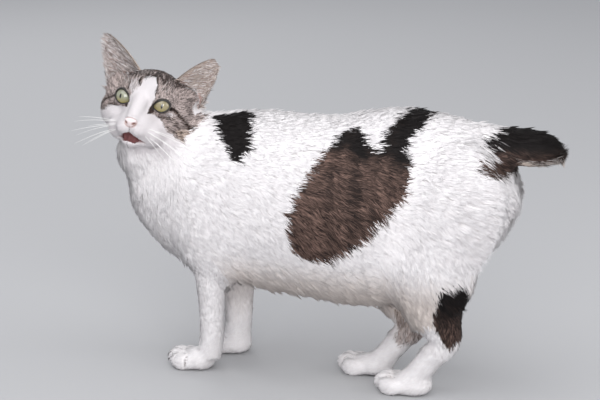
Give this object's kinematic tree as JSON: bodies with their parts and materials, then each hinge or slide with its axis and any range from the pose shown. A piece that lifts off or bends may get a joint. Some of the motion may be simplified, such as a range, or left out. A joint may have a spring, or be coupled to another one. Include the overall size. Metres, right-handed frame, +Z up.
{
  "type": "japanese bobtail cat",
  "caption": "Life-size short-tailed cat standing on its paws, head turned back over its left shoulder, white coat with dark patches.",
  "frame": {"origin": "centre of the bounding box at floor level, under the belly", "axes": "the cat faces -X with its tail towards +X, its left side is towards -Y, +Z is up"},
  "size_m": [0.504, 0.1498, 0.3525],
  "materials": {
    "head": "short tabby and white fur",
    "jaw": "short white fur",
    "nose": "bare pink skin",
    "eye": "clear and glossy over a yellow-green iris",
    "ear": "thin furred skin",
    "neck": "white fur with a black patch",
    "torso": "white fur with black and brown patches",
    "tail": "black fur",
    "foreleg": "white fur",
    "front_paw": "white fur",
    "thigh": "white fur",
    "shank": "white and black fur",
    "hind_foot": "white fur"
  },
  "bodies": {
    "root": {"ear_left": "ear", "ear_right": "ear", "eye_left": "eye", "eye_right": "eye", "foreleg_left": "foreleg", "foreleg_right": "foreleg", "front_paw_left": "front_paw", "front_paw_right": "front_paw", "head": "head", "hind_foot_left": "hind_foot", "hind_foot_right": "hind_foot", "jaw": "jaw", "neck": "neck", "nose": "nose", "shank_left": "shank", "shank_right": "shank", "tail": "tail", "thigh_left": "thigh", "thigh_right": "thigh", "torso": "torso"}
  },
  "joints": []
}
